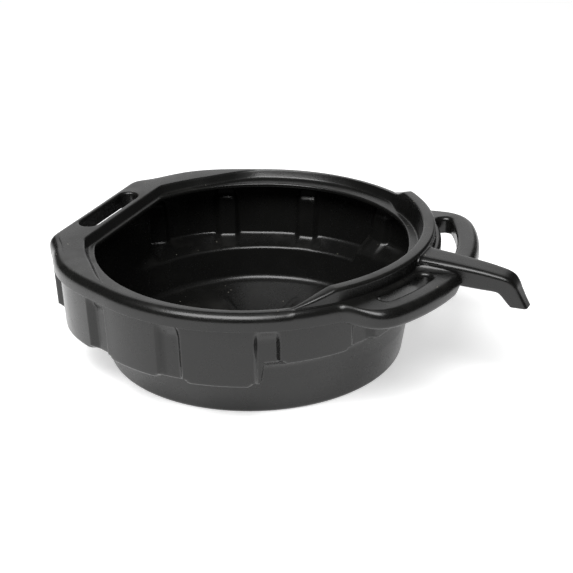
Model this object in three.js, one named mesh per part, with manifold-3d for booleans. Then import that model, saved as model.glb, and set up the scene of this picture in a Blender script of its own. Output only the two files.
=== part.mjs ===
// Blow-moulded oil drain pan: a round basin under a wider grooved skirt, a rolled rim with a
// splash lip, a raised splash guard on the pouring side, a rear carry handle, two loop handles
// and a hollow pour spout.
// Millimetres. +Z up, +X towards the spout, origin at the centre of the flat bottom face.
import * as THREE from 'three';
import { mergeVertices } from 'three/addons/utils/BufferGeometryUtils.js';
import Module from 'manifold-3d';

// ---------------------------------------------------------------- driving dimensions
const WALL = 3.0;              // moulded wall thickness
const GAP = 0.3;               // clearance between neighbouring sections

const FLOOR_R = 176.0;         // flat floor plate radius
const BASIN_FOOT_R = 183.5;    // outside radius of the basin at its foot
const BASIN_TOP_R = 190.5;     // outside radius of the basin at the tier
const BASIN_TOP_Z = 46.0;      // height of the basin's upper edge

const STEP_RIGHT = -62.4;      // angle of the tier step on the right side (degrees)
const STEP_LEFT = 71.5;        // angle of the tier step on the left side
const REAR_CUT = 168.0;        // the tier floor runs out against the rear wall at this angle
const SKIRT_END = 157.0;       // the skirt runs from the spout side round to this angle
const SKIRT_TOP_Z = 128.0;     // top of the skirt, just under the rim band
const SKIRT_LOW_Z = 54.0;      // bottom of the deep skirt
const SKIRT_SET_BACK = 6.5;    // the skirt stands this far inside the rim's edge
const SKIRT_CORNER_BACK = 1.2; // and this far inside it at the rear corners
const SKIRT_DRAFT = 3.0;       // how far the skirt tapers in from top to bottom
const LEFT_DROP = 9.0;         // the short skirt hangs this much lower on the left
// Bottom edge of the short skirt on the spout side: angle from the spout, height.
const SHORT_SKIRT = [
  [0, 101], [9, 100], [14, 97], [19, 93], [25, 88], [31, 86], [37, 84.6], [55, 82.2], [75, 80.5],
];
const GROOVE_DEPTH = 7.5;
const GROOVE_HALF = 3.4;       // half width of a groove's floor (degrees)
const GROOVE_FLANK = 1.3;      // width of a groove's sloping side (degrees)
const GROOVES = [-150.2, -118.8, -90, -60.6, -30.8, 38, 64.8, 96, 125.5, 151];

const RIM_R = 231.5;           // outside radius of the rim band
const RIM_BULGE = 13.3;        // extra radius towards the rear handle corners
const RIM_CORNER = 7.0;        // further extra radius at the corners
const BAND_Z = 128.3;          // bottom edge of the rim band
const BAND_IN = 9.3;           // the band's lower web reaches this far in, over the skirt
const RIM_TOP_Z = 148.0;       // top of the rolled rim
const LIP_R = 194.0;           // radius of the round opening
const LIP_Z = 138.2;           // top of the splash lip
const LIP_DIP = 3.5;           // the opening is this much tighter on the spout side
const LIP_CHORD_X = 174.5;     // the opening is cut straight here, on the handle side
const LEDGE_REAR_X = 178.8;    // foot of the rise behind the straight part
const LEDGE_R = 214.0;         // foot of the rise along the sides
const LEDGE_REAR_R = 201.5;    // foot of the rise next to the rear handle
const LEDGE_GUARD_R = 203.0;   // foot of the splash guard

const GUARD_END_RIGHT = 54.5;  // the guard dies into the rim at this angle on the right
const GUARD_END_LEFT = 60.0;   // and at this angle on the left
const GUARD_FULL_RIGHT = 40.0; // and is full height from this angle inwards
const GUARD_FULL_LEFT = 49.0;
const GUARD_TOP_Z = 164.5;
const GUARD_OUT_R = 223.0;     // outside face of the guard
const GUARD_IN_R = 207.5;      // inner edge of the guard's top

const REAR_X = 230.0;          // outer straight edge of the rear handle
const REAR_TOP_Z = 149.0;
const REAR_LOW_Z = 128.3;
const REAR_IN_X = 180.6;       // inner edge of the rear handle plate
const SLOT_X0 = 191.6;
const SLOT_X1 = 217.0;
const SLOT_HALF = 60.0;        // half length of the hand slot
const RECESS_HALF = 84.0;      // half width of the finger recess under the plate
const REAR_WALL_X = 192.2;     // outer face of the wall behind the finger recess
const REAR_CLEAR_X = REAR_WALL_X - WALL - GAP;

const LOOP_TOP_Z = 148.4;
const LOOP_LOW_Z = 127.0;
const LOOP_OUT_R = 276.0;      // outer radius of the loop handles
const LOOP_HOLE_R = 256.0;     // outer radius of the finger holes
const LOOP_WALL_R = 227.2;     // radius of the flange wall the loops grow from
const LOOP_ROOT_A = 39.5;      // outer root of each loop (degrees)
const LOOP_HOLE_A = 32.4;      // the left finger hole ends here
const LOOP_HOLE_A_RIGHT = 29.2; // the right one is a little shorter
const LEFT_STRETCH = 1.08;     // the left loop reaches further round by this factor
const LOOP_WEB_Y = 23.6;       // inner web of each loop, beside the spout
const LOOP_WEB_W = 9.5;

// Spout stations: x, top z, bottom z, half width at that station.
const SPOUT_BODY = [
  [223.6, 159.7, 133.5, 22.5],
  [238, 159.5, 133.2, 21.2],
  [255, 158.7, 132.2, 19.2],
  [275, 157.0, 130.8, 17.4],
  [298, 154.5, 129.8, 16.0],
  [314, 152.0, 129.4, 15.0],
];
// Down-turned end: the section plane swings from upright to nearly level.
// Each row: outer x, outer z, inner x, inner z, half width.
const SPOUT_TIP = [
  [314.3, 151.9, 314.3, 129.3, 15.0],
  [324, 149.8, 315.6, 128.2, 14.2],
  [331, 146.4, 317.6, 126.4, 13.2],
  [336.4, 140.2, 319.9, 123.8, 12.0],
  [341.6, 130.4, 322.9, 119.6, 10.4],
  [351.5, 112.6, 328.4, 112.0, 8.4],
];

// ---------------------------------------------------------------- small helpers
const rad = (deg) => deg * Math.PI / 180;
const clamp01 = (t) => Math.min(1, Math.max(0, t));
const smooth = (a, b, v) => {
  const t = clamp01((v - a) / (b - a));
  return t * t * (3 - 2 * t);
};
const lerp = (a, b, t) => a + (b - a) * t;
const softMin = (a, b, k) => {
  const h = clamp01(0.5 + 0.5 * (b - a) / k);
  return lerp(b, a, h) - k * h * (1 - h);
};

// Straight line x = -d in polar form (only for the rear half).
const flat = (d, deg) => {
  const c = -Math.cos(rad(deg));
  return c > 0.2 ? d / c : 1e4;
};

function angles(a0, a1, step, extra = []) {
  const n = Math.max(1, Math.round(Math.abs(a1 - a0) / step));
  const list = [];
  for (let i = 0; i <= n; i += 1) {
    list.push(a0 + (a1 - a0) * i / n);
  }
  for (const e of extra) {
    if (e > Math.min(a0, a1) + 0.2 && e < Math.max(a0, a1) - 0.2) {
      list.push(e);
    }
  }
  list.sort((p, q) => p - q);
  return list.filter((v, i) => i === 0 || v - list[i - 1] > 0.15);
}

// Solid through a row of equal-length point loops; the row may close on itself.
function loft(loops, closed) {
  const n = loops[0].length;
  const pos = [];
  const idx = [];
  for (const loop of loops) {
    for (const p of loop) {
      pos.push(p[0], p[1], p[2]);
    }
  }
  const rows = closed ? loops.length : loops.length - 1;
  for (let i = 0; i < rows; i += 1) {
    const a = i * n;
    const b = ((i + 1) % loops.length) * n;
    for (let j = 0; j < n; j += 1) {
      const k = (j + 1) % n;
      idx.push(a + j, b + j, b + k, a + j, b + k, a + k);
    }
  }
  if (!closed) {
    const cap = (start, flip) => {
      const pts = loops[start];
      const o = new THREE.Vector3(...pts[0]);
      let normal = new THREE.Vector3();
      for (let j = 0; j < n; j += 1) {
        const p = new THREE.Vector3(...pts[j]).sub(o);
        const q = new THREE.Vector3(...pts[(j + 1) % n]).sub(o);
        normal.add(p.cross(q));
      }
      normal = normal.normalize();
      const side = Math.abs(normal.z) < 0.9 ? new THREE.Vector3(0, 0, 1) : new THREE.Vector3(1, 0, 0);
      const u = new THREE.Vector3().crossVectors(side, normal).normalize();
      const v = new THREE.Vector3().crossVectors(normal, u);
      const flatPts = pts.map((p) => {
        const d = new THREE.Vector3(...p).sub(o);
        return new THREE.Vector2(d.dot(u), d.dot(v));
      });
      for (const [p, q, r] of THREE.ShapeUtils.triangulateShape(flatPts, [])) {
        const s = start * n;
        if (flip) {
          idx.push(s + p, s + r, s + q);
        } else {
          idx.push(s + p, s + q, s + r);
        }
      }
    };
    cap(0, false);
    cap(loops.length - 1, true);
  }
  const g = new THREE.BufferGeometry();
  g.setAttribute('position', new THREE.Float32BufferAttribute(pos, 3));
  g.setIndex(idx);
  return outward(g);
}

// Flip every face if the enclosed volume comes out negative.
function outward(g) {
  const p = g.getAttribute('position');
  const idx = Array.from(g.index.array);
  const a = new THREE.Vector3();
  const b = new THREE.Vector3();
  const c = new THREE.Vector3();
  let vol = 0;
  for (let i = 0; i < idx.length; i += 3) {
    a.fromBufferAttribute(p, idx[i]);
    b.fromBufferAttribute(p, idx[i + 1]);
    c.fromBufferAttribute(p, idx[i + 2]);
    vol += a.dot(b.cross(c));
  }
  if (vol < 0) {
    for (let i = 0; i < idx.length; i += 3) {
      [idx[i + 1], idx[i + 2]] = [idx[i + 2], idx[i + 1]];
    }
    g.setIndex(idx);
  }
  return g;
}

// Sweep a section (list of [r, z] as a function of angle) through a list of angles.
function sweep(section, list, closed = false) {
  return loft(list.map((deg) => {
    const c = Math.cos(rad(deg));
    const s = Math.sin(rad(deg));
    return section(deg).map(([r, z]) => [r * c, r * s, z]);
  }), closed);
}

// Flat outline raised from z0 to z1 with bevelled edges.
function slab(outline, holes, z0, z1, bevel) {
  const shape = new THREE.Shape(outline.map(([x, y]) => new THREE.Vector2(x, y)));
  for (const hole of holes) {
    shape.holes.push(new THREE.Path(hole.map(([x, y]) => new THREE.Vector2(x, y))));
  }
  const g = new THREE.ExtrudeGeometry(shape, {
    depth: z1 - z0 - 2 * bevel,
    bevelEnabled: bevel > 0,
    bevelThickness: bevel,
    bevelSize: bevel,
    bevelOffset: -bevel,
    bevelSegments: 2,
  });
  g.translate(0, 0, z0 + bevel);
  return weld(g);
}

function weld(g) {
  const c = g.clone();
  c.deleteAttribute('normal');
  c.deleteAttribute('uv');
  return mergeVertices(c, 1e-4);
}

const wasm = await Module();
wasm.setup();

function solid(g) {
  const w = weld(g);
  return new wasm.Manifold(new wasm.Mesh({
    numProp: 3,
    vertProperties: new Float32Array(w.getAttribute('position').array),
    triVerts: new Uint32Array(w.index.array),
  }));
}

function geometry(manifold) {
  const mesh = manifold.getMesh();
  const g = new THREE.BufferGeometry();
  g.setAttribute('position', new THREE.Float32BufferAttribute(mesh.vertProperties, 3));
  g.setIndex(Array.from(mesh.triVerts));
  return g;
}

function box(x0, x1, y0, y1, z0, z1) {
  const g = new THREE.BoxGeometry(x1 - x0, y1 - y0, z1 - z0);
  g.translate((x0 + x1) / 2, (y0 + y1) / 2, (z0 + z1) / 2);
  return g;
}

// ---------------------------------------------------------------- plan outlines in polar form
function rimRadius(deg) {
  const a = Math.abs(deg);
  const grown = RIM_R + RIM_BULGE * smooth(112, 140, a) + RIM_CORNER * smooth(147, 158, a);
  return softMin(grown, flat(REAR_X, a), 6);
}

// Angle as the loop handles see it: the left side is stretched.
const handed = (deg) => (deg > 0 ? deg / LEFT_STRETCH : -deg);

// 1 where the guard is full height, 0 where it has died into the rim.
function guardLift(deg) {
  const [full, end] = deg > 0 ? [GUARD_FULL_LEFT, GUARD_END_LEFT] : [GUARD_FULL_RIGHT, GUARD_END_RIGHT];
  return clamp01((end - Math.abs(deg)) / (end - full));
}

function lipRadius(deg) {
  const a = Math.abs(deg);
  const round = LIP_R - LIP_DIP * (1 - smooth(20, 48, a));
  return softMin(round, flat(LIP_CHORD_X, a), 3);
}

function ledgeRadius(deg) {
  const a = Math.abs(deg);
  const front = lerp(LEDGE_R, LEDGE_GUARD_R, smooth(0, 1, guardLift(deg)));
  const rear = lerp(front, LEDGE_REAR_R, smooth(112, 136, a));
  return softMin(rear, flat(LEDGE_REAR_X, a), 3);
}

function guardTop(deg) {
  return lerp(RIM_TOP_Z, GUARD_TOP_Z, guardLift(deg));
}

// 0 on a panel, 1 on the floor of a groove.
function grooveAt(deg) {
  let g = 0;
  for (const c of GROOVES) {
    const off = Math.abs(deg - c);
    g = Math.max(g, 1 - smooth(GROOVE_HALF - GROOVE_FLANK / 2, GROOVE_HALF + GROOVE_FLANK, off));
  }
  return g;
}

const grooveOffsets = [-5.2, -4.2, -3.4, -2.4, 0, 2.4, 3.4, 4.2, 5.2];
const grooveStations = GROOVES.flatMap((c) => grooveOffsets.map((d) => c + d));

function skirtBottom(deg) {
  if (deg <= STEP_RIGHT || deg >= STEP_LEFT) {
    return SKIRT_LOW_Z;
  }
  const a = Math.abs(deg);
  const i = SHORT_SKIRT.findIndex(([angle]) => angle > a);
  const [a0, z0] = SHORT_SKIRT[i - 1];
  const [a1, z1] = SHORT_SKIRT[i];
  return lerp(z0, z1, (a - a0) / (a1 - a0)) - LEFT_DROP * smooth(34, 60, deg);
}

// Outside radius of the skirt at a height, with its draft and grooves.
function skirtRadius(deg, z) {
  const t = (SKIRT_TOP_Z - z) / (SKIRT_TOP_Z - SKIRT_LOW_Z);
  const fade = clamp01((SKIRT_TOP_Z - z) / 7);
  const back = lerp(SKIRT_SET_BACK, SKIRT_CORNER_BACK, smooth(145, 154, Math.abs(deg)));
  return rimRadius(deg) - back - SKIRT_DRAFT * t - GROOVE_DEPTH * grooveAt(deg) * fade;
}

// ---------------------------------------------------------------- the sections
const parts = {};

// Floor plate, with a shallow raised pad on its upper face.
parts.basin_floor = () => {
  const under = [[0, 0], [FLOOR_R, 0]];
  const over = [[FLOOR_R, WALL], [150, WALL + 0.4], [60, WALL + 1.2], [0, WALL + 1.2]];
  const profile = under.concat(over);
  const g = new THREE.LatheGeometry(profile.map(([r, z]) => new THREE.Vector2(r, z)), 60);
  g.rotateX(Math.PI / 2);
  return outward(weld(g));
};

// Round basin wall with its rounded foot.
parts.basin_wall = () => sweep(() => [
  [FLOOR_R + GAP, 0],
  [BASIN_FOOT_R - 5, 0],
  [BASIN_FOOT_R - 1.6, 1.6],
  [BASIN_FOOT_R + 0.4, 5],
  [BASIN_TOP_R, BASIN_TOP_Z],
  [BASIN_TOP_R - WALL, BASIN_TOP_Z],
  [BASIN_FOOT_R - 2.6, 7],
  [BASIN_FOOT_R - 4.4, WALL + 0.8],
  [FLOOR_R + GAP, WALL],
], angles(-180, 176, 4), true);

// Sloping tier floor between the basin and the deep skirt, on the two sides.
function tierFloor(a0, a1) {
  const section = (deg) => {
    const plain = skirtRadius(deg, SKIRT_LOW_Z) - WALL - 1.5;
    const inner = BASIN_TOP_R - WALL + 0.6;
    const outer = Math.abs(deg) > SKIRT_END ? Math.max(inner + 1.5, flat(REAR_CLEAR_X, deg)) : plain;
    const rise = clamp01((outer - inner) / 30);
    const z0 = BASIN_TOP_Z + GAP;
    const z1 = z0 + 8.6 * rise;
    return [
      [inner, z0],
      [inner, z0 + 1.6],
      [inner + 1.4, z0 + WALL],
      [lerp(inner, outer, 0.55), lerp(z0, z1, 0.5) + WALL],
      [outer, z1 + WALL],
      [outer, z1],
      [lerp(inner, outer, 0.55), lerp(z0, z1, 0.5)],
    ];
  };
  const ends = [-SKIRT_END - 0.15, -SKIRT_END + 0.05, SKIRT_END - 0.05, SKIRT_END + 0.15];
  const shelf = sweep(section, angles(a0, a1, 6, grooveStations.concat(ends)));
  const notch = box(-REAR_X, -REAR_CLEAR_X, -RECESS_HALF - 6, RECESS_HALF + 6, 0, REAR_TOP_Z);
  return geometry(solid(shelf).subtract(solid(notch)));
}
parts.tier_floor_left = () => tierFloor(STEP_LEFT + 1.2, REAR_CUT);
parts.tier_floor_right = () => tierFloor(-REAR_CUT, STEP_RIGHT - 1.2);

// Higher tier on the spout side, closed by an upright step at both ends.
parts.tier_floor_spout = () => {
  const inner = BASIN_TOP_R - WALL + 0.6;
  const z0 = BASIN_TOP_Z + GAP;
  const section = (deg) => {
    const zb = skirtBottom(deg);
    const outer = skirtRadius(deg, zb) - WALL - 1.5;
    return [
      [inner, z0],
      [inner + 2.6, zb - 14],
      [inner + 5.5, zb - 8.5],
      [outer, zb + WALL],
      [outer, zb],
      [inner + 7.4, zb - 11.4],
      [inner + 5.4, zb - 15],
      [inner + WALL, z0],
    ];
  };
  const shell = solid(sweep(section, angles(STEP_RIGHT + 0.1, STEP_LEFT - 0.1, 6, grooveStations)));
  const cheek = (deg) => {
    const side = deg < 0 ? 1 : -1;
    const a0 = deg + side * 0.1;
    const a1 = deg + side * 0.95;
    const zb = skirtBottom(deg + side * 0.2);
    const plate = () => {
      const low = skirtRadius(a1, SKIRT_LOW_Z) - WALL - 1.2;
      const high = skirtRadius(a1, zb) - WALL - 1.5;
      return [
        [inner + 0.4, z0],
        [inner + 2.9, zb - 14],
        [inner + 6.4, zb - 9.5],
        [high, zb + 1.5],
        [low, SKIRT_LOW_Z + 6],
        [low - 4, SKIRT_LOW_Z + 1],
      ];
    };
    return solid(sweep(plate, [Math.min(a0, a1), Math.max(a0, a1)]));
  };
  return geometry(shell.add(cheek(STEP_RIGHT)).add(cheek(STEP_LEFT)));
};

// Upright skirt with its panels and grooves.
function skirt(a0, a1) {
  const section = (deg) => {
    const zb = skirtBottom(Math.min(Math.max(deg, a0 + 0.01), a1 - 0.01));
    const levels = [zb, zb + 4, lerp(zb, SKIRT_TOP_Z, 0.5), SKIRT_TOP_Z - 7, SKIRT_TOP_Z - 3.6, SKIRT_TOP_Z];
    const outer = levels.map((z, i) => [skirtRadius(deg, z) - (i === 0 ? 2.4 : 0), z]);
    const inner = levels.map((z, i) => [skirtRadius(deg, z) - WALL - (i === 0 ? 0.6 : 0), z]);
    return outer.concat(inner.reverse());
  };
  return sweep(section, angles(a0, a1, 6, grooveStations));
}
parts.skirt_left = () => skirt(STEP_LEFT, SKIRT_END);
parts.skirt_right = () => skirt(-SKIRT_END, STEP_RIGHT);
parts.skirt_spout = () => skirt(STEP_RIGHT + 0.1, STEP_LEFT - 0.1);

// Wall of the finger recess behind and below the rear handle, returning to the skirt's ends.
parts.rear_wall = () => {
  const ring = (z) => {
    const reach = 3.0 * (z - BASIN_TOP_Z) / (REAR_LOW_Z - BASIN_TOP_Z);
    const x0 = REAR_WALL_X;
    const half = [
      [-219 - reach, RECESS_HALF + 4.5 + 0.4 * reach],
      [-x0 - 3, RECESS_HALF - 2.8],
      [-x0, RECESS_HALF - 6],
    ];
    const back = [
      [-x0 + WALL, RECESS_HALF - 4.6],
      [-x0 - 1.6, RECESS_HALF - 0.2],
      [-216.4 - reach, RECESS_HALF + 7.1 + 0.4 * reach],
    ];
    const mirror = (list) => list.map(([x, y]) => [x, -y]).reverse();
    return half.concat(mirror(half), mirror(back), back).map(([x, y]) => [x, y, z]);
  };
  return loft([ring(BASIN_TOP_Z + GAP), ring(REAR_LOW_Z - GAP)], false);
};

// Splash lip: the inward ledge that ends in the rounded edge of the opening.
parts.splash_lip = () => sweep((deg) => {
  const r = lipRadius(deg);
  const out = ledgeRadius(deg) - 3 * GAP;
  return [
    [r, LIP_Z - 4.6],
    [r, LIP_Z - 1.6],
    [r + 0.7, LIP_Z - 0.4],
    [r + 2.0, LIP_Z],
    [out, LIP_Z],
    [out, LIP_Z - WALL],
    [r + 3.6, LIP_Z - WALL],
    [r + WALL, LIP_Z - 4.6],
  ];
}, angles(-180, 176, 4), true);

// Rolled rim with its upright band, on the two sides.
function rimBead(a0, a1) {
  return sweep((deg) => {
    const o = rimRadius(deg);
    const f = ledgeRadius(deg);
    return [
      [o, BAND_Z],
      [o, RIM_TOP_Z - 8.6],
      [o - 1.4, RIM_TOP_Z - 4.4],
      [o - 4.6, RIM_TOP_Z - 1.3],
      [o - 9.5, RIM_TOP_Z],
      [f + 5.6, RIM_TOP_Z],
      [f + 4.2, RIM_TOP_Z - 1.2],
      [f, LIP_Z],
      [f, LIP_Z - WALL],
      [f + 2, LIP_Z - WALL],
      [f + 6.6, RIM_TOP_Z - WALL],
      [o - 9.5, RIM_TOP_Z - WALL],
      [o - 5.4, RIM_TOP_Z - 5.6],
      [o - WALL, RIM_TOP_Z - 9.6],
      [o - WALL, BAND_Z + WALL],
      [o - BAND_IN, BAND_Z + WALL],
      [o - BAND_IN, BAND_Z],
    ];
  }, angles(a0, a1, 4));
}
parts.rim_bead_left = () => rimBead(GUARD_END_LEFT + 0.1, SKIRT_END);
parts.rim_bead_right = () => rimBead(-SKIRT_END, -GUARD_END_RIGHT - 0.1);

// Raised splash guard over the spout side of the opening, cut through for the spout.
parts.splash_guard = () => {
  const g = sweep((deg) => {
    const f = ledgeRadius(deg);
    const t = guardTop(deg);
    const lift = (t - RIM_TOP_Z) / (GUARD_TOP_Z - RIM_TOP_Z);
    const i = lerp(f + 4.4, GUARD_IN_R, lift);
    const foot = RIM_TOP_Z - 4;
    return [
      [f, LIP_Z],
      [i - 0.8, t - 2.2],
      [i + 1.2, t],
      [GUARD_OUT_R - 3.4, t],
      [GUARD_OUT_R - 0.6, t - 1.4],
      [GUARD_OUT_R, t - 4],
      [GUARD_OUT_R, foot],
      [GUARD_OUT_R - WALL, foot],
      [GUARD_OUT_R - WALL, t - 4.4],
      [GUARD_OUT_R - 4.4, t - WALL],
      [i + 3.4, t - WALL],
      [f + WALL + 0.4, LIP_Z - WALL],
      [f, LIP_Z - WALL],
    ];
  }, angles(-GUARD_END_RIGHT, GUARD_END_LEFT, 3.5, [-GUARD_FULL_RIGHT, GUARD_FULL_LEFT]));
  const hole = box(GUARD_OUT_R - 9, GUARD_OUT_R + 4, -18.5, 18.5, 137.5, 156);
  return geometry(solid(g).subtract(solid(hole)));
};

// Flange wall outside the guard, from which the spout and the loop handles grow.
parts.spout_flange = () => {
  const g = sweep((deg) => {
    const o = lerp(LOOP_WALL_R - GAP, RIM_R, smooth(41, 46, handed(deg)));
    const k = (o - LOOP_WALL_R + GAP) / (RIM_R - LOOP_WALL_R + GAP);
    return [
      [o, BAND_Z],
      [o, RIM_TOP_Z - lerp(4, 8.6, k)],
      [lerp(o - 0.8, o - 2.4, k), RIM_TOP_Z - lerp(1.4, 3, k)],
      [GUARD_OUT_R + GAP + 0.6, RIM_TOP_Z],
      [GUARD_OUT_R + GAP, RIM_TOP_Z - 0.4],
      [GUARD_OUT_R + GAP, RIM_TOP_Z - 7],
      [o - WALL, RIM_TOP_Z - 10],
      [o - WALL, BAND_Z],
    ];
  }, angles(-GUARD_END_RIGHT, GUARD_END_LEFT, 4));
  const notch = box(GUARD_OUT_R - 2, LOOP_WALL_R + 4, -23.0, 23.0, 133.1, RIM_TOP_Z + 4);
  return geometry(solid(g).subtract(solid(notch)));
};

// Rear carry handle: thick plate with a round-ended hand slot.
parts.rear_handle = () => {
  const a0 = SKIRT_END + 0.1;
  const outline = [];
  for (const deg of angles(a0, 360 - a0, 4, [159, 161.5, 198.5, 201])) {
    const d = deg > 180 ? deg - 360 : deg;
    const r = rimRadius(d);
    outline.push([r * Math.cos(rad(d)), r * Math.sin(rad(d))]);
  }
  const rIn = ledgeRadius(a0) + 2.2;
  const side = rIn * Math.sin(rad(a0));
  const inX = Math.min(REAR_IN_X, -rIn * Math.cos(rad(a0)));
  outline.push([-inX, -side], [-inX, side]);
  const slot = [];
  const mid = (SLOT_X0 + SLOT_X1) / 2;
  const r = (SLOT_X1 - SLOT_X0) / 2;
  const straight = SLOT_HALF - r;
  for (let i = 0; i <= 10; i += 1) {
    const t = Math.PI * i / 10;
    slot.push([-mid + r * Math.cos(t), straight + r * Math.sin(t)]);
  }
  for (let i = 0; i <= 10; i += 1) {
    const t = Math.PI + Math.PI * i / 10;
    slot.push([-mid + r * Math.cos(t), -straight + r * Math.sin(t)]);
  }
  return slab(outline, [slot.reverse()], REAR_LOW_Z, REAR_TOP_Z, 3);
};

// Loop handles: a bar that leaves the rim, runs round at a constant radius and returns
// beside the spout.
function loopHandle(sign) {
  const stretch = sign > 0 ? LEFT_STRETCH : 1;
  const holeEnd = sign > 0 ? LOOP_HOLE_A : LOOP_HOLE_A_RIGHT;
  const polar = (r, deg) => {
    const t = rad(deg * stretch);
    return [r * Math.cos(t), sign * r * Math.sin(t)];
  };
  const outline = [];
  const webOut = LOOP_WEB_Y + LOOP_WEB_W;
  const at = (r, y) => [Math.sqrt(r * r - y * y), sign * y];
  outline.push(at(LOOP_WALL_R, LOOP_WEB_Y));
  outline.push(at(LOOP_OUT_R - 6, LOOP_WEB_Y));
  outline.push(at(LOOP_OUT_R - 1.5, LOOP_WEB_Y + 4));
  for (const deg of [9, 13, 17, 21, 25, 28.5]) {
    outline.push(polar(LOOP_OUT_R, deg));
  }
  outline.push(polar(274, 31.5), polar(268.5, 34), polar(260, 36), polar(249, 37.6));
  outline.push(polar(239, 39), polar(LOOP_WALL_R + 3.6, LOOP_ROOT_A + 0.4), polar(LOOP_WALL_R, LOOP_ROOT_A));
  outline.push(polar(LOOP_WALL_R, 35.8), polar(LOOP_WALL_R, holeEnd));
  outline.push(polar(243, holeEnd), polar(250, holeEnd - 1), polar(254.4, holeEnd - 3));
  for (const deg of [23.5, 20, 17, 14]) {
    outline.push(polar(LOOP_HOLE_R, deg));
  }
  outline.push(at(LOOP_HOLE_R - 1, webOut + 9), at(LOOP_HOLE_R - 4.6, webOut + 3));
  outline.push(at(LOOP_HOLE_R - 11, webOut), at(LOOP_WALL_R, webOut));
  return slab(sign > 0 ? outline : outline.reverse(), [], LOOP_LOW_Z, LOOP_TOP_Z, 2.6);
}
parts.loop_handle_left = () => loopHandle(1);
parts.loop_handle_right = () => loopHandle(-1);

// Rounded rectangle in a plane given by its two edge mid-points, half width across.
function spoutLoop(top, bottom, half, inset) {
  const n = 3;
  const dx = top[0] - bottom[0];
  const dz = top[1] - bottom[1];
  const h = Math.hypot(dx, dz) / 2 - inset;
  const w = half - inset;
  const r = Math.max(1.2, Math.min(6.5, h * 0.6, w * 0.6) - inset * 0.7);
  const ux = dx / Math.hypot(dx, dz);
  const uz = dz / Math.hypot(dx, dz);
  const cx = (top[0] + bottom[0]) / 2;
  const cz = (top[1] + bottom[1]) / 2;
  const loop = [];
  for (const [sy, sh, start] of [[1, 1, 0], [-1, 1, 1], [-1, -1, 2], [1, -1, 3]]) {
    for (let i = 0; i <= n; i += 1) {
      const t = (start + i / n) * Math.PI / 2;
      const y = sy * (w - r) + r * Math.cos(t);
      const v = sh * (h - r) + r * Math.sin(t);
      loop.push([cx + ux * v, y, cz + uz * v]);
    }
  }
  return loop;
}

function spoutTube(rows) {
  const outer = rows.map(([xo, zo, xi, zi, w]) => spoutLoop([xo, zo], [xi, zi], w, 0));
  const inner = rows.map(([xo, zo, xi, zi, w]) => spoutLoop([xo, zo], [xi, zi], w, WALL));
  return loft(outer.concat(inner.reverse()), true);
}
parts.pour_spout = () => spoutTube(SPOUT_BODY.map(([x, t, b, w]) => [x, t, x, b, w]));
parts.spout_tip = () => spoutTube(SPOUT_TIP);

// ---------------------------------------------------------------- assemble
const plastic = { color: 0x1b1c1d, roughness: 0.42, metalness: 0.0 };
const group = new THREE.Group();
group.name = 'oil_drain_pan';
for (const [name, make] of Object.entries(parts)) {
  const g = weld(make());
  g.computeVertexNormals();
  const mesh = new THREE.Mesh(g, new THREE.MeshStandardMaterial({ ...plastic }));
  mesh.name = name;
  group.add(mesh);
}

export default group;
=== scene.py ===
"""Oil drain pan: one continuous blow-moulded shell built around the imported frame."""
import math

import bmesh
import bpy
import numpy as np
from mathutils import Matrix, Vector


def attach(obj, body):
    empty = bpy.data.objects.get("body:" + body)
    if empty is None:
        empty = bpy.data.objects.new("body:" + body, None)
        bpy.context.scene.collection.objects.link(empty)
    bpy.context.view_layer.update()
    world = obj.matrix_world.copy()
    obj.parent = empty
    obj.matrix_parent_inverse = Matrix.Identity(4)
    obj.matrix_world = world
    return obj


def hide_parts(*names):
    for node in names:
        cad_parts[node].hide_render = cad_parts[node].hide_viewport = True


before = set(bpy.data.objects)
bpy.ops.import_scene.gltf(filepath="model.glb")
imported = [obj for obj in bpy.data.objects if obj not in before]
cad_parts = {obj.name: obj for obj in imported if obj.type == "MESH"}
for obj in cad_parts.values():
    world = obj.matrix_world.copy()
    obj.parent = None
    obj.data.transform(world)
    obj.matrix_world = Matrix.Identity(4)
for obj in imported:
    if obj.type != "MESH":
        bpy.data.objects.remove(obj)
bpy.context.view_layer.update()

MM = 0.001

# ------------------------------------------------------------------ dimensions, mm and degrees
WALL = 3.0
FOOT_R = 183.5          # basin foot, outside
SHOULDER = (190.8, 44.6)    # top of the basin wall, outside
SHELF_EDGE = (188.3, 47.2)  # top of the basin wall, inside
FLOOR_Z = 3.2
FLOOR_CORNER_R = 180.6
SKIRT_LOW = 54.0
STEP_RIGHT = -62.2
STEP_LEFT = 71.5
STEP_HALF = 0.9
LEFT_DROP = 9.0         # the short skirt hangs this much lower on the left
SKIRT_TOP = 128.0
SKIRT_SET_BACK = 6.5     # from the rim's outline to the skirt's top
DRAFT = 3.0
INNER_DRAFT = 5.0       # the skirt is thicker towards its foot
RECESS_X = 192.2
GROOVES = [-150.2, -118.8, -90.0, -60.6, -30.8, 38.0, 64.8, 96.0, 125.5, 151.0]
GROOVE_R = 226.0        # radius that turns the grooves' angles into widths
GROOVE_HALF = 13.2
GROOVE_DEPTH = 7.4
GROOVE_TOP = 124.5
GROOVE_CORNER = 7.0
PANEL_CORNER = 6.0
GROOVE_EDGE = 3.8
RIB_TOP = 113.5         # the ribs the grooves make inside end lower, in a dome
RIM_R = 231.5
RIM_TOP = 148.0
REAR_X = 230.0
LIP_R = 194.0
LIP_TOP = 138.2
LIP_LOW = 133.2
GUARD_TOP = 164.5
GUARD_OUT = 223.0
GUARD_FULL = 39.0
GUARD_END = 52.0
GUARD_RIGHT = (40.0, 54.5)  # where the splash guard starts to fall and ends, right side
GUARD_LEFT = (49.0, 60.0)   # and left side
SLOT_FLARE = 3.4        # how far the edges of the hand slots roll over
LOOP_FLARE = 5.2        # the loop handles' slots roll over more on top
REAR_SLOT_LOW_FLARE = 1.5
LOOP_SLOT_R = 239.7     # radius of the loop slots' middle line
LOOP_SLOT_HALF = 9.4
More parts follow.
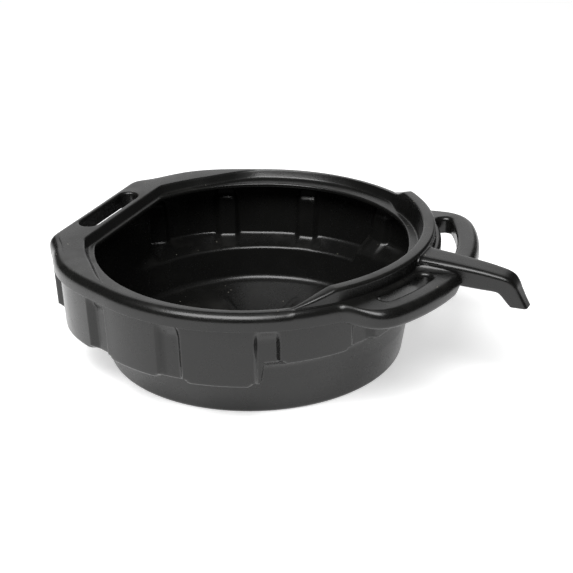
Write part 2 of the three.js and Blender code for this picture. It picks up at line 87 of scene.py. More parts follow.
LOOP_SLOT_CORNER = 8.6
LOOP_SLOT_Z = (126.1, 148.0)
LOOP_SLOTS = (          # side, name, middle angle, half length
    (1, "left", 21.0, 54.7),
    (-1, "right", 17.8, 42.7),
)
REAR_SLOT_X = -204.8
REAR_SLOT_HALF = (12.4, 60.0)
REAR_SLOT_CORNER = 12.2
REAR_SLOT_Z = (128.3, 149.0)
BOTTOM_FLAT_R = 165.0   # the bottom is flat inside this radius
BORE_WALL = 2.8         # wall left around the bore of the spout
RAY_HEIGHT = 1.5        # rays and boss stand this far above the floor
SHARP_ANGLE = 38        # degrees, edges sharper than this are not smoothed


# ------------------------------------------------------------------ small maths
def rad(deg):
    return np.radians(deg)


def smooth(a, b, v):
    t = np.clip((v - a) / (b - a), 0.0, 1.0)
    return t * t * (3 - 2 * t)


def lerp(a, b, t):
    return a + (b - a) * t


def soft_min(a, b, k):
    h = np.clip(0.5 + 0.5 * (b - a) / k, 0.0, 1.0)
    return lerp(b, a, h) - k * h * (1 - h)


def soft_ramp(v, k):
    """0 below 0, v above 0, rounded over k."""
    t = np.clip(v + k, 0, 2 * k)
    return np.where(v > k, v, t * t / (4 * k))


def flat(d, a):
    """Distance along angle a to the line x = -d."""
    c = -np.cos(rad(a))
    return np.where(c > 0.2, d / np.maximum(c, 0.2), 1e4)


# ------------------------------------------------------------------ outlines as functions of angle
# Outside of the loop handles: (angle, radius).
LOOP_OUTLINE = [
    (0, 276), (26, 276.4), (29, 276), (31.5, 273.5), (33.4, 269), (35, 262),
    (36.6, 251), (38.2, 238.5), (39.2, 232.6), (40.2, 231.5), (46, 231.5),
]
LEFT_STRETCH = 1.08     # the left loop reaches a little further round than the right one


def rim_plain(a):
    grown = RIM_R + 13.3 * smooth(112, 140, a) + 7.0 * smooth(147, 158, a)
    return soft_min(grown, flat(REAR_X, a), 6)


def handed(deg):
    """Angle as the loop handles see it: the left one is stretched."""
    return np.where(deg > 0, deg / LEFT_STRETCH, -deg)


def guard_angle(deg):
    """Angle as the splash guard sees it: it always runs out from GUARD_FULL to GUARD_END."""
    turned = [0, GUARD_FULL, GUARD_END, 180]
    left = np.interp(deg, [0, *GUARD_LEFT, 180], turned)
    right = np.interp(-deg, [0, *GUARD_RIGHT, 180], turned)
    return np.where(deg > 0, left, right)


def rim_outer(deg):
    a = handed(deg)
    xs = np.array([p[0] for p in LOOP_OUTLINE], float)
    ys = np.array([p[1] for p in LOOP_OUTLINE], float)
    taps = np.linspace(-1.5, 1.5, 13)
    weights = np.exp(-0.5 * (taps / 0.7) ** 2)
    loop = sum(w * np.interp(np.abs(a + t), xs, ys) for t, w in zip(taps, weights))
    loop = loop / weights.sum()
    return np.where(a < 46, loop, rim_plain(np.abs(deg)))


def lip_radius(a):
    return soft_min(LIP_R - 3.5 * (1 - smooth(20, 48, a)), flat(174.5, a), 3)


def ledge_radius(a, g):
    front = lerp(203.0, 214.0, smooth(40, 53, g))
    rear = lerp(front, 201.5, smooth(112, 136, a))
    return soft_min(rear, flat(178.8, a), 3)


def rim_top(a, g):
    ramp = (GUARD_END - g) / (GUARD_END - GUARD_FULL)
    lift = soft_ramp(ramp, 0.05) - soft_ramp(ramp - 1, 0.05)
    return RIM_TOP + 1.0 * smooth(140, 156, a) + (GUARD_TOP - RIM_TOP) * lift


def step_mix(deg):
    """1 on the deep sides, 0 on the short spout side."""
    right = 1 - smooth(STEP_RIGHT - STEP_HALF, STEP_RIGHT + STEP_HALF, deg)
    left = smooth(STEP_LEFT - STEP_HALF, STEP_LEFT + STEP_HALF, deg)
    return np.clip(right + left, 0, 1)


# Bottom edge of the short skirt under the spout: (angle, height).
SHORT_SKIRT = [
    (0, 101), (9, 100), (14, 97), (19, 93), (25, 88), (31, 86), (37, 84.6), (55, 82.2),
    (75, 80.5),
]


def skirt_bottom(deg):
    a = np.abs(deg)
    xs = [q[0] for q in SHORT_SKIRT]
    zs = [q[1] for q in SHORT_SKIRT]
    short = sum(np.interp(np.abs(a + t), xs, zs) for t in np.linspace(-3, 3, 9)) / 9
    short = short - LEFT_DROP * smooth(34, 60, deg)
    return lerp(short, SKIRT_LOW, step_mix(deg))


def groove_mask(deg, z, bottom, inside):
    """1 in a vertical groove of the skirt, 0 on a panel; the rib made inside is rounder."""
    low, high = (-5.8, 4.2) if inside else (-GROOVE_EDGE, GROOVE_EDGE)
    grow = 1.5 if inside else 0.0
    ends = RIB_TOP if inside else GROOVE_TOP
    drop = np.clip(PANEL_CORNER - (z - bottom), 0, PANEL_CORNER)
    wider = 0.0 if inside else PANEL_CORNER - np.sqrt(PANEL_CORNER ** 2 - drop ** 2)
    mask = np.zeros(np.broadcast(deg, z).shape)
    for centre in GROOVES:
        side = np.abs(rad(deg - centre)) * GROOVE_R - wider
        qx = side - (GROOVE_HALF - GROOVE_CORNER)
        qz = z - (ends - GROOVE_CORNER)
        outside = np.hypot(np.maximum(qx, 0), np.maximum(qz, 0))
        d = outside + np.minimum(np.maximum(qx, qz), 0) - GROOVE_CORNER
        mask = np.maximum(mask, 1 - smooth(low, high, d - grow))
    return mask


def skirt_radius(deg, z, inset=0.0):
    a = np.abs(deg)
    bottom = skirt_bottom(deg)
    plain = rim_plain(a)
    top = plain - lerp(SKIRT_SET_BACK, 1.2, smooth(145, 154, a))
    panel = top - DRAFT * (SKIRT_TOP - z) / (SKIRT_TOP - SKIRT_LOW)
    shallow = lerp(1.0, 0.5, smooth(108, 122, z))
    depth = GROOVE_DEPTH * shallow * groove_mask(deg, z, bottom, False)
    if inset > 0:
        panel = panel - INNER_DRAFT * (1 - smooth(56, 122, z))
        rib = inset + GROOVE_DEPTH * groove_mask(deg, z, bottom, True)
        depth = np.maximum(rib, depth + 1.3)
    recess = flat(RECESS_X, a) - inset
    into = smooth(154.6, 158.4, a)
    return lerp(panel - depth, np.minimum(recess, panel - depth), into)


# ------------------------------------------------------------------ section builder
def rounded(p, c, q, a, b, n, most=(0.47, 0.47)):
    """Points of a conic fillet at corner c between p and q, for every angle at once."""
    u = p - c
    v = q - c
    lu = np.linalg.norm(u, axis=-1, keepdims=True)
    lv = np.linalg.norm(v, axis=-1, keepdims=True)
    u = u / np.maximum(lu, 1e-9)
    v = v / np.maximum(lv, 1e-9)
    a = np.minimum(np.reshape(a, (-1, 1)) if np.ndim(a) else a, most[0] * lu)
    b = np.minimum(np.reshape(b, (-1, 1)) if np.ndim(b) else b, most[1] * lv)
    start = c + u * a
    end = c + v * b
    w = np.sqrt(np.clip((1 - (u * v).sum(-1, keepdims=True)) / 2, 0.02, 1))
    out = []
    for i in range(n + 1):
        t = i / n
        top = (1 - t) ** 2 * start + 2 * w * t * (1 - t) * c + t * t * end
        out.append(top / ((1 - t) ** 2 + 2 * w * t * (1 - t) + t * t))
    return out


def columns():
    extra = []
    for centre in GROOVES:
        for side in (-1, 1):
            extra += list(centre + side * np.linspace(2.5, 4.3, 10))
    for ends in ((-GUARD_RIGHT[1], -GUARD_RIGHT[0]), GUARD_LEFT):
        extra += list(np.arange(ends[0] - 2, ends[1] + 2, 0.4))
    for step in (STEP_RIGHT, STEP_LEFT):
        extra += list(np.linspace(step - 1.2, step + 1.2, 13))
    for side in (-1, 1):
        extra += list(side * np.arange(28, 45.1, 0.3))
        extra += list(side * np.arange(150, 160.1, 0.35))
        extra += list(side * np.arange(3, 9, 0.5))
    base = list(np.arange(-180, 180, 0.9))
    angles = np.array(sorted(base + [e for e in extra if -180 < e < 180]))
    keep = [angles[0]]
    for v in angles[1:]:
        if v - keep[-1] > 0.14:
            keep.append(v)
    return np.array(keep)


def floor_height(deg, r):
    """Raised rays moulded into the floor, and a shallow middle boss."""
    ray = np.abs(((deg + 22.5) % 45) - 22.5)
    across = rad(ray) * r
    ridge = (1 - smooth(2.5, 6.5, across)) * smooth(30, 46, r) * (1 - smooth(118, 134, r))
    boss = 1 - smooth(24, 32, r)
    return FLOOR_Z + RAY_HEIGHT * np.maximum(ridge, boss)


# Where the straight stretches of the section get their rows, as shares of their height.
SKIRT_ROWS = (0.02, 0.05, 0.09, 0.14, 0.3, 0.5, 0.62, 0.7, 0.76, 0.8, 0.84, 0.88, 0.92, 0.96)
INNER_ROWS = (0.0, 0.04, 0.08, 0.12, 0.16, 0.2, 0.24, 0.29, 0.35, 0.42, 0.5, 0.65, 0.82)
# Radii of the floor's rows.
FLOOR_ROWS = (160, 134, 128, 122, 116, 108, 96, 84, 72, 60, 50, 44, 38, 32, 29, 26, 23, 14)


def pan_section(deg):
    """Closed section of the moulding, from the middle of its bottom round to its floor."""
    a = np.abs(deg)
    n = len(deg)

    def pt(r, z):
        pair = (np.broadcast_to(r, n).astype(float), np.broadcast_to(z, n).astype(float))
        return np.stack(pair, -1)

    outer = rim_outer(deg)
    plain = rim_plain(a)
    lip = lip_radius(a)
    g = guard_angle(deg)
    ledge = ledge_radius(a, g)
    top = rim_top(a, g)
    bottom = skirt_bottom(deg)
    spoutward = 1 - smooth(37, 41, handed(deg))  # 1 where the loop plate is
    rearward = smooth(151, 157.5, a)             # 1 where the rear plate is
    guard = 1 - smooth(50.2, 52.6, g)
    under_spout = 1 - smooth(4.2, 7.5, a)
    under = SKIRT_TOP - 1.9 * spoutward + 0.3 * rearward + 7.0 * under_spout
    deep = step_mix(deg)
    rim_z = RIM_TOP + 1.0 * rearward

    # outside, from the bottom up
    foot = pt(FOOT_R, 0)
    shoulder = pt(*SHOULDER)
    shelf_out = pt(skirt_radius(deg, bottom), bottom)
    mid_low = lerp(shoulder, shelf_out, 0.3)
    mid_high = pt(194.0, bottom - 12.5)
    mid = lerp(mid_high, mid_low, deep[:, None])
    neck = pt(skirt_radius(deg, under), under)
    edge_low = pt(outer, under)
    roll = pt(outer, rim_z)
    g_foot_r = lerp(np.maximum(plain - 12.2, ledge + 5.5), GUARD_OUT + 0.2, guard)
    g_foot = pt(g_foot_r, rim_z)
    g_top = pt(g_foot_r - 0.25, np.maximum(top, rim_z + 0.02))
    in_top = pt(ledge + 5.0, np.maximum(top, rim_z + 0.02))
    in_foot = pt(ledge, LIP_TOP)
    lip_top = pt(lip, LIP_TOP)
    lip_low = pt(lip, LIP_LOW)
    lip_back = pt(lip + 2.7, LIP_LOW)
    under_lip = pt(lip + 2.7, LIP_TOP - WALL)
    hollow_cap = flat(RECESS_X - WALL - 0.4, a)

    def capped(r, z):
        return pt(np.minimum(r, hollow_cap), z)

    in_ledge = capped(ledge + 2.8, LIP_TOP - WALL)
    h_top_in = capped(ledge + 7.6, top - WALL)
    h_top_out = capped(lerp(plain - 10.4, 220.0, guard), top - WALL)
    h_side = capped(lerp(plain - 3.2, 220.2, guard), lerp(139.0, 147.0, guard))
    h_low = capped(lerp(plain - 3.6, 221.6, guard), lerp(133.4, 141.0, guard))

    rows = []
    rows += [pt(r, 0) for r in (60, 120, BOTTOM_FLAT_R)]
    rows += rounded(pt(BOTTOM_FLAT_R, 0), foot, shoulder, 5.0, 6.0, 6)
    rows += rounded(foot, shoulder, mid, 2.5, 2.5, 4)
    rows += rounded(shoulder, mid, shelf_out, lerp(9, 3, deep), lerp(9, 3, deep), 6)
    up = pt(skirt_radius(deg, bottom + 5), bottom + 5)
    rows += rounded(mid, shelf_out, up, 3.6, 3.6, 6)
    for t in SKIRT_ROWS:
        z = lerp(bottom + 3.8, under - 2.4, t)
        rows.append(pt(skirt_radius(deg, z), z))
    below = pt(skirt_radius(deg, under - 6), under - 6)
    plate = np.maximum(spoutward, rearward)
    rows += rounded(below, neck, edge_low, 1.4, lerp(0.7, 3.0, plate), 3)
    rows += rounded(neck, edge_low, roll, lerp(0.8, 5.5, plate), lerp(0.8, 6.0, plate), 5)
    rows += rounded(edge_low, roll, g_foot, 10.8, 10.8, 14, (0.62, 0.86))
    rows += rounded(roll, g_foot, g_top, 1.4, 1.4, 3)
    rows += rounded(g_foot, g_top, in_top, 4.0, 4.0, 5)
    rows += rounded(g_top, in_top, in_foot, 2.6, 2.6, 5)
    rows += rounded(in_top, in_foot, lip_top, 2.6, 2.6, 4)
    rows += rounded(in_foot, lip_top, lip_low, 2.3, 2.3, 5)
    rows += rounded(lip_top, lip_low, lip_back, 1.0, 1.0, 2)
    rows += rounded(lip_low, lip_back, under_lip, 0.6, 0.6, 1)
    rows += rounded(lip_back, under_lip, in_ledge, 0.8, 0.8, 1)
    rows += rounded(under_lip, in_ledge, h_top_in, 1.5, 1.5, 2)
    rows += rounded(in_ledge, h_top_in, h_top_out, 2.0, 2.0, 2)
    rows += rounded(h_top_in, h_top_out, h_side, 2.5, 2.5, 2)
    rows += rounded(h_top_out, h_side, h_low, 2.5, 2.0, 2)
    in_top_wall = pt(skirt_radius(deg, 125.0, WALL), 125.0)
    rows += rounded(h_side, h_low, in_top_wall, 2.0, 2.0, 2)
    shelf_in = pt(skirt_radius(deg, bottom + 3.2, WALL), bottom + 3.2)
    for t in INNER_ROWS:
        z = lerp(123.0, bottom + 10.2, t)
        rows.append(pt(skirt_radius(deg, z, WALL), z))
    down = pt(skirt_radius(deg, bottom + 10.2, WALL), bottom + 10.2)
    edge_in = pt(*SHELF_EDGE)
    mid_in = lerp(pt(191.2, bottom - 9.3), lerp(edge_in, shelf_in, 0.3), deep[:, None])
    rows += rounded(down, shelf_in, mid_in, 6.0, lerp(4.0, 7.5, deep), 7)
    rows += rounded(shelf_in, mid_in, edge_in, lerp(9, 3, deep), lerp(9, 3, deep), 5)
    corner = pt(FLOOR_CORNER_R, FLOOR_Z)
    rows += rounded(mid_in, edge_in, corner, 3.2, 3.2, 6)
    inward = pt(BOTTOM_FLAT_R, FLOOR_Z)
    rows += rounded(edge_in, corner, inward, 8.0, 8.0, 7)
    for r in FLOOR_ROWS:
        rows.append(pt(r, floor_height(deg, np.full(n, float(r)))))
    return np.stack(rows)           # rows x columns x (r, z)


def new_mesh(name, verts, faces):
    mesh = bpy.data.meshes.new(name)
    mesh.from_pydata(verts, [], faces)
    mesh.validate()
    obj = bpy.data.objects.new(name, mesh)
    bpy.context.scene.collection.objects.link(obj)
    return obj


def face_out(obj):
    """Turn every closed body's faces outwards."""
    bm = bmesh.new()
    bm.from_mesh(obj.data)
    bmesh.ops.recalc_face_normals(bm, faces=bm.faces)
    bm.to_mesh(obj.data)
    bm.free()


def body_mesh():
    deg = columns()
    rz = pan_section(deg)
    m, n = rz.shape[:2]
    c = np.cos(rad(deg))
    s = np.sin(rad(deg))
    xyz = np.stack([rz[..., 0] * c, rz[..., 0] * s, rz[..., 1]], -1).reshape(-1, 3)
    verts = [tuple(v) for v in xyz * MM]
    verts.append((0, 0, 0))
    verts.append((0, 0, (FLOOR_Z + RAY_HEIGHT) * MM))
    low_pole = m * n
    high_pole = low_pole + 1
    faces = []
    for i in range(m - 1):
        for j in range(n):
            k = (j + 1) % n
            faces.append((i * n + j, i * n + k, (i + 1) * n + k, (i + 1) * n + j))
    for j in range(n):
        k = (j + 1) % n
        faces.append((low_pole, k, j))
        faces.append(((m - 1) * n + j, (m - 1) * n + k, high_pole))
    obj = new_mesh("pan_moulding", verts, faces)
    face_out(obj)
    return obj


# ------------------------------------------------------------------ cutters and spout
def loft(name, rings):
    n = len(rings[0])
    verts = [tuple(Vector(p) * MM) for ring in rings for p in ring]
    faces = []
    for i in range(len(rings) - 1):
        for j in range(n):
            k = (j + 1) % n
            faces.append((i * n + j, i * n + k, (i + 1) * n + k, (i + 1) * n + j))
    faces.append(tuple(range(n))[::-1])
    last = (len(rings) - 1) * n
    faces.append(tuple(last + j for j in range(n)))
    obj = new_mesh(name, verts, faces)
    face_out(obj)
    return obj


def round_rect(half_u, half_v, radius, per_corner=8, per_side=6):
    """Rounded rectangle with the same number of points whatever its size."""
    corners = []
    for su, sv, start in ((1, 1, 0), (-1, 1, 1), (-1, -1, 2), (1, -1, 3)):
        arc = []
        for i in range(per_corner + 1):
            t = (start + i / per_corner) * math.pi / 2
            arc.append((su * (half_u - radius) + radius * math.cos(t),
                        sv * (half_v - radius) + radius * math.sin(t)))
        corners.append(arc)
    out = []
    for i, arc in enumerate(corners):
        out += arc
        p, q = arc[-1], corners[(i + 1) % 4][0]
        for k in range(1, per_side):
            out.append((lerp(p[0], q[0], k / per_side), lerp(p[1], q[1], k / per_side)))
    return out


def slot_cutter(name, place, half_u, half_v, radius, z_low, z_high, flare_low, flare_high):
    """A hand slot whose top and bottom edges are rolled over."""
    levels = [(z_low - 12, flare_low)]
    for i in range(7):
        t = i / 6 * math.pi / 2
        levels.append((z_low + flare_low * (1 - math.cos(t)), flare_low * (1 - math.sin(t))))
    for i in range(7):
        t = i / 6 * math.pi / 2
        levels.append((z_high - flare_high * (1 - math.sin(t)), flare_high * (1 - math.cos(t))))
    levels.append((z_high + 12, flare_high))
    rings = []
    for z, off in levels:
        ring = round_rect(half_u + off, half_v + off, radius + off)
        rings.append([(*place(u, v), z) for u, v in ring])
    return loft(name, rings)


def polar_place(sign, r0, deg0):
    def place(u, v):
        ang = rad(deg0 + math.degrees(v / r0))
        r = r0 + u
        return r * math.cos(ang), sign * r * math.sin(ang)
    return place


# Spout stations: top (x, z), bottom (x, z), half width, corner radius.
SPOUT = [
    ((214, 161.5), (214, 133.5), 24.0, 9.5),
    ((222.5, 161.8), (222.5, 133.5), 24.2, 9.5),
    ((225.5, 160.9), (225.5, 133.5), 22.8, 9.2),
    ((230, 160.2), (230, 133.4), 21.6, 9.0),
    ((242, 159.5), (242, 132.8), 20.6, 8.4),
    ((260, 158.3), (260, 131.7), 18.9, 7.2),
    ((278, 156.6), (278, 130.5), 17.4, 6.3),
    ((297, 154.6), (297, 129.8), 16.2, 5.8),
    ((312, 152.4), (310, 129.5), 15.3, 5.6),
    ((323, 150.2), (315.0, 128.6), 14.4, 5.4),
    ((331.0, 146.7), (317.4, 126.8), 13.4, 5.2),
    ((336.4, 140.4), (319.8, 124.0), 12.2, 5.0),
    ((340.2, 132.6), (322.4, 120.4), 11.0, 4.6),
    ((345.2, 122.8), (325.6, 116.0), 9.7, 4.2),
    ((350.6, 113.2), (328.8, 112.6), 8.7, 3.8),
]


def catmull(rows, per):
    """Smooth curve through every row, with this many steps between two rows."""
    rows = [np.array(r, float) for r in rows]
    out = []
    for i in range(len(rows) - 1):
        p0 = rows[max(i - 1, 0)]
        p1 = rows[i]
        p2 = rows[i + 1]
        p3 = rows[min(i + 2, len(rows) - 1)]
        for k in range(per):
            t = k / per
            square = (2 * p0 - 5 * p1 + 4 * p2 - p3) * t * t
            cube = (3 * p1 - p0 - 3 * p2 + p3) * t ** 3
            out.append(0.5 * (2 * p1 + (p2 - p0) * t + square + cube))
    out.append(rows[-1])
    return out


def spout_ring(row, inset):
    xt, zt, xb, zb, half, radius = row
    dx, dz = xt - xb, zt - zb
    length = math.hypot(dx, dz)
    ux, uz = dx / length, dz / length
    cx, cz = (xt + xb) / 2, (zt + zb) / 2
    radius = max(1.6, radius - 0.75 * inset)
    ring = []
    for v, w in round_rect(half - inset, length / 2 - inset, radius, 6, 5):
        ring.append((cx + ux * w, v, cz + uz * w))
    return ring


def spout_rows():
    flat_rows = [(t[0], t[1], b[0], b[1], h, r) for t, b, h, r in SPOUT]
    return catmull(flat_rows, 5)


def spout_solid():
    rows = spout_rows()
    rings = [spout_ring(r, 0.0) for r in rows]
    # the mouth's edge is rolled in slightly
    last = rows[-1]
    for k, inset in ((0.45, 0.12), (0.8, 0.5), (1.0, 1.0)):
        end = list(last)
        end[1] -= 0.9 * k
        end[3] -= 0.9 * k
        rings.append(spout_ring(end, inset))
    return loft("spout_solid", rings)


def spout_bore():
    rows = spout_rows()
    rings = [spout_ring(r, BORE_WALL) for r in rows]
    last = list(rows[-1])
    last[1] -= 8
    last[3] -= 8
    last[0] += 1.5
    last[2] += 1.0
    rings.append(spout_ring(last, 2.6))
    return loft("spout_bore", rings)


# Fillet beside the spout: x, half width of the spout, height of the fillet.
SADDLE = [
    (213.0, 21.5, 10.0), (226.0, 21.0, 9.5), (234.0, 20.4, 9.0), (244.0, 19.6, 8.5),
    (252.0, 18.8, 7.5), (259.0, 18.0, 5.5), (264.0, 17.6, 3.3), (267.5, 17.2, 1.2),
]
SADDLE_SPREAD = 1.5     # its width for each unit of height


def spout_saddle():
    """Broad fillet between the spout's sides and the plate of the loop handles."""
    rings = []
    for x, half, size in SADDLE:
        side = [(half - 2, RIM_TOP + size)]
        for i in range(9):
            t = i / 8 * math.pi / 2
            out = half - 0.6 + SADDLE_SPREAD * size * (1 - math.cos(t))
            side.append((out, RIM_TOP + size * (1 - math.sin(t))))
        side.append((half - 0.6 + SADDLE_SPREAD * size, RIM_TOP - 2.0))
        ring = [(x, y, z) for y, z in side] + [(x, -y, z) for y, z in reversed(side)]
        rings.append(ring)
    return loft("spout_saddle", rings)


def boolean(target, tool, operation):
    mod = target.modifiers.new("cut", "BOOLEAN")
    mod.operation = operation
    mod.object = tool
    mod.solver = "MANIFOLD"
    apply_modifiers(target)
    bpy.data.objects.remove(tool)


def apply_modifiers(obj):
    deps = bpy.context.evaluated_depsgraph_get()
    mesh = bpy.data.meshes.new_from_object(obj.evaluated_get(deps))
    old = obj.data
    obj.modifiers.clear()
    obj.data = mesh
    mesh.name = obj.name
    bpy.data.meshes.remove(old)


pan = body_mesh()
boolean(pan, spout_solid(), "UNION")
boolean(pan, spout_saddle(), "UNION")
for sign, side, middle, half in LOOP_SLOTS:
    place = polar_place(sign, LOOP_SLOT_R, middle)
    cutter = slot_cutter("slot_" + side, place, LOOP_SLOT_HALF, half, LOOP_SLOT_CORNER,
                         *LOOP_SLOT_Z, SLOT_FLARE, LOOP_FLARE)
    boolean(pan, cutter, "DIFFERENCE")
cutter = slot_cutter("slot_rear", lambda u, v: (REAR_SLOT_X + u, v), *REAR_SLOT_HALF,
                     REAR_SLOT_CORNER, *REAR_SLOT_Z, REAR_SLOT_LOW_FLARE, SLOT_FLARE)
boolean(pan, cutter, "DIFFERENCE")
boolean(pan, spout_bore(), "DIFFERENCE")

pan.data.shade_smooth()
pan.data.set_sharp_from_angle(angle=math.radians(SHARP_ANGLE))


# ------------------------------------------------------------------ material
PLASTIC_DARK = (0.0040, 0.0040, 0.0038, 1)
PLASTIC_LIGHT = (0.0064, 0.0064, 0.0060, 1)
PLASTIC_ROUGHNESS = (0.23, 0.31)
PLASTIC_IOR = 1.45
FILM_COLOR = (0.062, 0.059, 0.052, 1)
FILM_AMOUNT = 0.14
DUST_COLOR = (0.34, 0.32, 0.27, 1)
DUST_AMOUNT = 0.75


def link(tree, a, b):
    tree.links.new(a, b)


def plastic(name):
    mat = bpy.data.materials.new(name)
    mat.use_nodes = True
    tree = mat.node_tree
    tree.nodes.clear()
    new = tree.nodes.new
    out = new("ShaderNodeOutputMaterial")
    shader = new("ShaderNodeBsdfPrincipled")
    link(tree, shader.outputs[0], out.inputs[0])
    coords = new("ShaderNodeTexCoord")

    def noise(scale, detail, rough=0.5):
        node = new("ShaderNodeTexNoise")
        node.inputs["Scale"].default_value = scale
        node.inputs["Detail"].default_value = detail
        node.inputs["Roughness"].default_value = rough
        link(tree, coords.outputs["Object"], node.inputs["Vector"])
        return node.outputs["Fac"]

    def ramp(value, low, high, a=0.0, b=1.0):
        node = new("ShaderNodeMapRange")
        node.clamp = True
        node.inputs["From Min"].default_value = low
        node.inputs["From Max"].default_value = high
        node.inputs["To Min"].default_value = a
        node.inputs["To Max"].default_value = b
        link(tree, value, node.inputs["Value"])
        return node.outputs[0]

    def maths(op, a, b):
        node = new("ShaderNodeMath")
        node.operation = op
        for i, v in enumerate((a, b)):
            if isinstance(v, (int, float)):
                node.inputs[i].default_value = v
            else:
                link(tree, v, node.inputs[i])
        return node.outputs[0]

    # dust: sparse pale specks, only where a surface faces up
    cell = new("ShaderNodeTexVoronoi")
    cell.inputs["Scale"].default_value = 150
    link(tree, coords.outputs["Object"], cell.inputs["Vector"])
    speck = ramp(cell.outputs["Distance"], 0.05, 0.16, 1.0, 0.0)
    split = new("ShaderNodeSeparateColor")
    link(tree, cell.outputs["Color"], split.inputs[0])
    chosen = ramp(split.outputs[0], 0.90, 0.92)
    geometry = new("ShaderNodeNewGeometry")
    normal = new("ShaderNodeSeparateXYZ")
    link(tree, geometry.outputs["Normal"], normal.inputs[0])
    up = ramp(normal.outputs["Z"], 0.55, 0.95)
    dust = maths("MULTIPLY", maths("MULTIPLY", speck, chosen), up)
    film = maths("MULTIPLY", ramp(noise(26, 5, 0.62), 0.5, 0.78), up)

    base = new("ShaderNodeMix")
    base.data_type = "RGBA"
    base.inputs["A"].default_value = PLASTIC_DARK
    base.inputs["B"].default_value = PLASTIC_LIGHT
    link(tree, ramp(noise(9, 4), 0.3, 0.7), base.inputs["Factor"])
    filmed = new("ShaderNodeMix")
    filmed.data_type = "RGBA"
    filmed.inputs["B"].default_value = FILM_COLOR
    link(tree, base.outputs["Result"], filmed.inputs["A"])
    link(tree, maths("MULTIPLY", film, FILM_AMOUNT), filmed.inputs["Factor"])
    dusted = new("ShaderNodeMix")
    dusted.data_type = "RGBA"
    dusted.inputs["B"].default_value = DUST_COLOR
    link(tree, filmed.outputs["Result"], dusted.inputs["A"])
    link(tree, maths("MULTIPLY", dust, DUST_AMOUNT), dusted.inputs["Factor"])
    link(tree, dusted.outputs["Result"], shader.inputs["Base Color"])

    rough = ramp(noise(38, 6, 0.6), 0.25, 0.75, *PLASTIC_ROUGHNESS)
    rough = maths("ADD", rough, maths("MULTIPLY", film, 0.16))
    rough = maths("ADD", rough, maths("MULTIPLY", dust, 0.35))
    link(tree, rough, shader.inputs["Roughness"])
    shader.inputs["IOR"].default_value = PLASTIC_IOR

    fine = noise(1400, 3, 0.6)
    wave = noise(17, 2, 0.4)
    bump_fine = new("ShaderNodeBump")
    bump_fine.inputs["Strength"].default_value = 0.10
    bump_fine.inputs["Distance"].default_value = 0.0003
    link(tree, fine, bump_fine.inputs["Height"])
    bump_wave = new("ShaderNodeBump")
    bump_wave.inputs["Strength"].default_value = 0.12
    bump_wave.inputs["Distance"].default_value = 0.0012
    link(tree, wave, bump_wave.inputs["Height"])
    link(tree, bump_fine.outputs["Normal"], bump_wave.inputs["Normal"])
    link(tree, bump_wave.outputs["Normal"], shader.inputs["Normal"])
    return mat


pan.data.materials.clear()
pan.data.materials.append(plastic("black_satin_plastic"))
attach(pan, "root")
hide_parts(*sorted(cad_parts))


# ------------------------------------------------------------------ stage, light and camera
FLOOR_HALF = 6
FLOOR_WHITE = (0.86, 0.86, 0.86, 1)
FLOOR_GLOW = 0.58
FLOOR_CORNERS = [
    (-FLOOR_HALF, -FLOOR_HALF, 0), (FLOOR_HALF, -FLOOR_HALF, 0),
    (FLOOR_HALF, FLOOR_HALF, 0), (-FLOOR_HALF, FLOOR_HALF, 0),
]

floor = new_mesh("floor", FLOOR_CORNERS, [(0, 1, 2, 3)])
floor_mat = bpy.data.materials.new("floor_white")
floor_mat.use_nodes = True
floor_shader = floor_mat.node_tree.nodes["Principled BSDF"]
floor_shader.inputs["Base Color"].default_value = FLOOR_WHITE
floor_shader.inputs["Roughness"].default_value = 0.9
floor_shader.inputs["Specular IOR Level"].default_value = 0.1
floor_shader.inputs["Emission Color"].default_value = (1, 1, 1, 1)
floor_shader.inputs["Emission Strength"].default_value = FLOOR_GLOW
floor.data.materials.append(floor_mat)


def area_light(name, place, target, size, size_y, power):
    data = bpy.data.lights.new(name, "AREA")
    data.shape = "RECTANGLE"
    data.size = size
    data.size_y = size_y
    data.energy = power
    obj = bpy.data.objects.new(name, data)
    bpy.context.scene.collection.objects.link(obj)
    obj.location = place
    direction = Vector(target) - Vector(place)
    obj.rotation_euler = direction.to_track_quat("-Z", "Y").to_euler()
    return obj


# The main view's directions along the floor, metres and watts from here on.
VIEW_RIGHT = Vector((0.9063, 0.4226, 0.0))
VIEW_AHEAD = Vector((-0.4226, 0.9063, 0.0))
LIGHT_TARGET = (0, 0, 0.1)


def studio(right, ahead, up):
    return VIEW_RIGHT * right + VIEW_AHEAD * ahead + Vector((0, 0, up))


area_light("tall_softbox", studio(-0.55, -1.25, 2.3), LIGHT_TARGET, 2.2, 1.35, 96)
area_light("overhead_softbox", studio(-0.3, 0.1, 3.0), LIGHT_TARGET, 2.4, 2.4, 8)


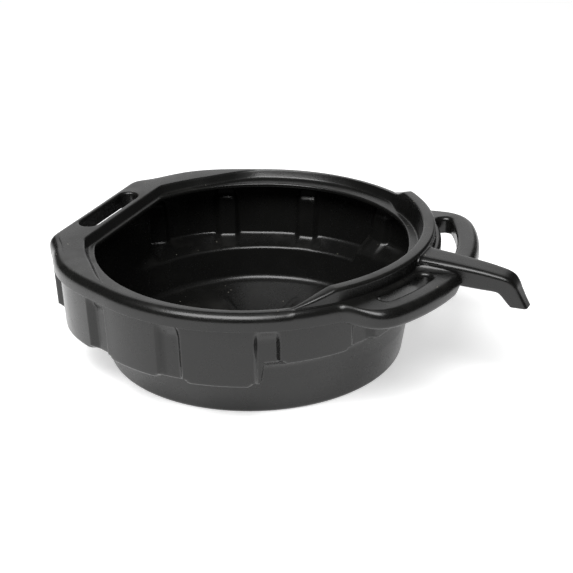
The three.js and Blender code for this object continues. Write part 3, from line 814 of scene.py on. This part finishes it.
def studio_world():
    """White backdrop behind the part, a dim room everywhere else."""
    world = bpy.data.worlds.new("studio")
    bpy.context.scene.world = world
    world.use_nodes = True
    tree = world.node_tree
    new = tree.nodes.new
    background = tree.nodes["Background"]
    coords = new("ShaderNodeTexCoord")
    facing = new("ShaderNodeVectorMath")
    facing.operation = "DOT_PRODUCT"
    facing.inputs[1].default_value = VIEW_AHEAD
    tree.links.new(coords.outputs["Generated"], facing.inputs[0])
    split = new("ShaderNodeSeparateXYZ")
    tree.links.new(coords.outputs["Generated"], split.inputs[0])

    def ramp(socket, low, high, a, b):
        node = new("ShaderNodeMapRange")
        node.interpolation_type = "SMOOTHSTEP"
        for key, value in (("From Min", low), ("From Max", high), ("To Min", a), ("To Max", b)):
            node.inputs[key].default_value = value
        tree.links.new(socket, node.inputs["Value"])
        return node.outputs[0]

    def times(a, b):
        node = new("ShaderNodeMath")
        node.operation = "MULTIPLY"
        tree.links.new(a, node.inputs[0])
        tree.links.new(b, node.inputs[1])
        return node.outputs[0]

    aside = new("ShaderNodeVectorMath")
    aside.operation = "DOT_PRODUCT"
    aside.inputs[1].default_value = VIEW_RIGHT
    tree.links.new(coords.outputs["Generated"], aside.inputs[0])
    off_axis = times(aside.outputs["Value"], aside.outputs["Value"])
    behind = ramp(facing.outputs["Value"], 0.1, 0.5, 0.0, 1.0)
    beside = ramp(off_axis, 0.07, 0.22, 1.0, 0.0)
    below = ramp(split.outputs["Z"], 0.50, 0.70, 1.0, 0.0)
    strength = ramp(times(times(behind, beside), below), 0.0, 1.0, 0.05, 1.0)
    tree.links.new(strength, background.inputs["Strength"])
    background.inputs["Color"].default_value = (1, 1, 1, 1)


studio_world()

scene = bpy.context.scene
scene.view_settings.view_transform = "Standard"

CAMERA_LENS = 94.24
CAMERA_PLACE = (0.7529, -1.5205, 0.8695)
CAMERA_UP = Vector((-0.1793, 0.3845, 0.9056))
CAMERA_AHEAD = Vector((-0.3827, 0.8207, -0.4242))
ROLL = math.radians(-1.08)

camera_data = bpy.data.cameras.new("camera")
camera_data.lens = CAMERA_LENS
camera_data.sensor_width = 36
camera = bpy.data.objects.new("camera", camera_data)
scene.collection.objects.link(camera)
turned_right = VIEW_RIGHT * math.cos(ROLL) + CAMERA_UP * math.sin(ROLL)
turned_up = CAMERA_UP * math.cos(ROLL) - VIEW_RIGHT * math.sin(ROLL)
basis = Matrix((turned_right, turned_up, -CAMERA_AHEAD)).transposed().to_4x4()
camera.matrix_world = Matrix.Translation(CAMERA_PLACE) @ basis
scene.camera = camera
